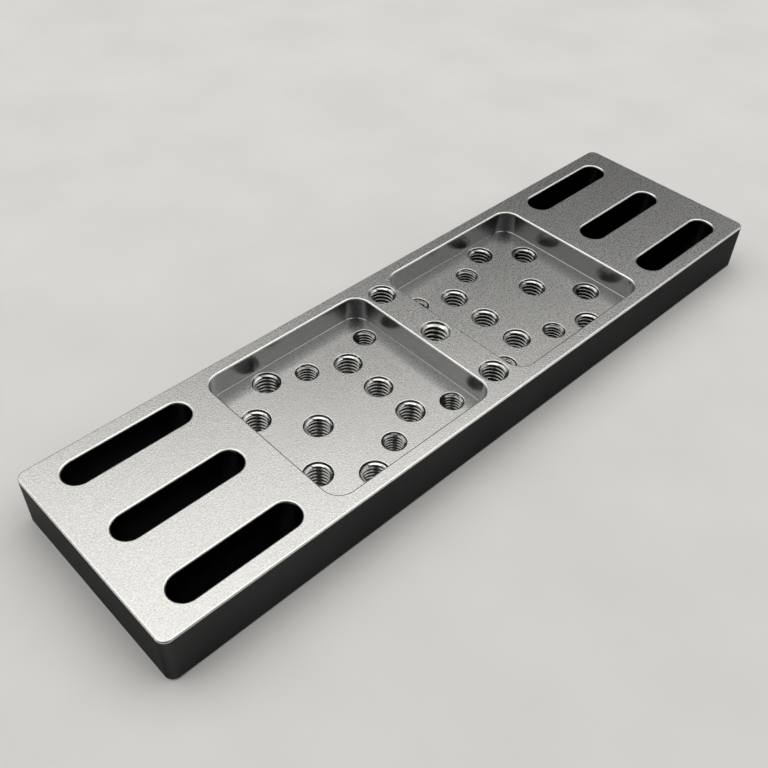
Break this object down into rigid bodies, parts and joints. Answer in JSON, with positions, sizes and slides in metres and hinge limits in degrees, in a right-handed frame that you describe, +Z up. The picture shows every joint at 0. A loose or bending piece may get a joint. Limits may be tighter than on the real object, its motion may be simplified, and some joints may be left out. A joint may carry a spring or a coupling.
{
  "type": "telescope accessory plate",
  "caption": "Flat metal bar milled with two shallow pockets, long bolt slots at both ends and a grid of tapped holes, for fixing accessories to a telescope.",
  "frame": {"origin": "middle of the underside, on the axis of the camera thread", "axes": "+X along the length of the plate, +Y across it, +Z up out of the face with the pockets"},
  "size_m": [0.18, 0.0494, 0.0125],
  "materials": {
    "anodised_metal": "bead blasted and anodised titanium grey, satin, with bright chamfered rims"
  },
  "bodies": {
    "root": {"accessory_plate": "anodised_metal"}
  },
  "joints": []
}
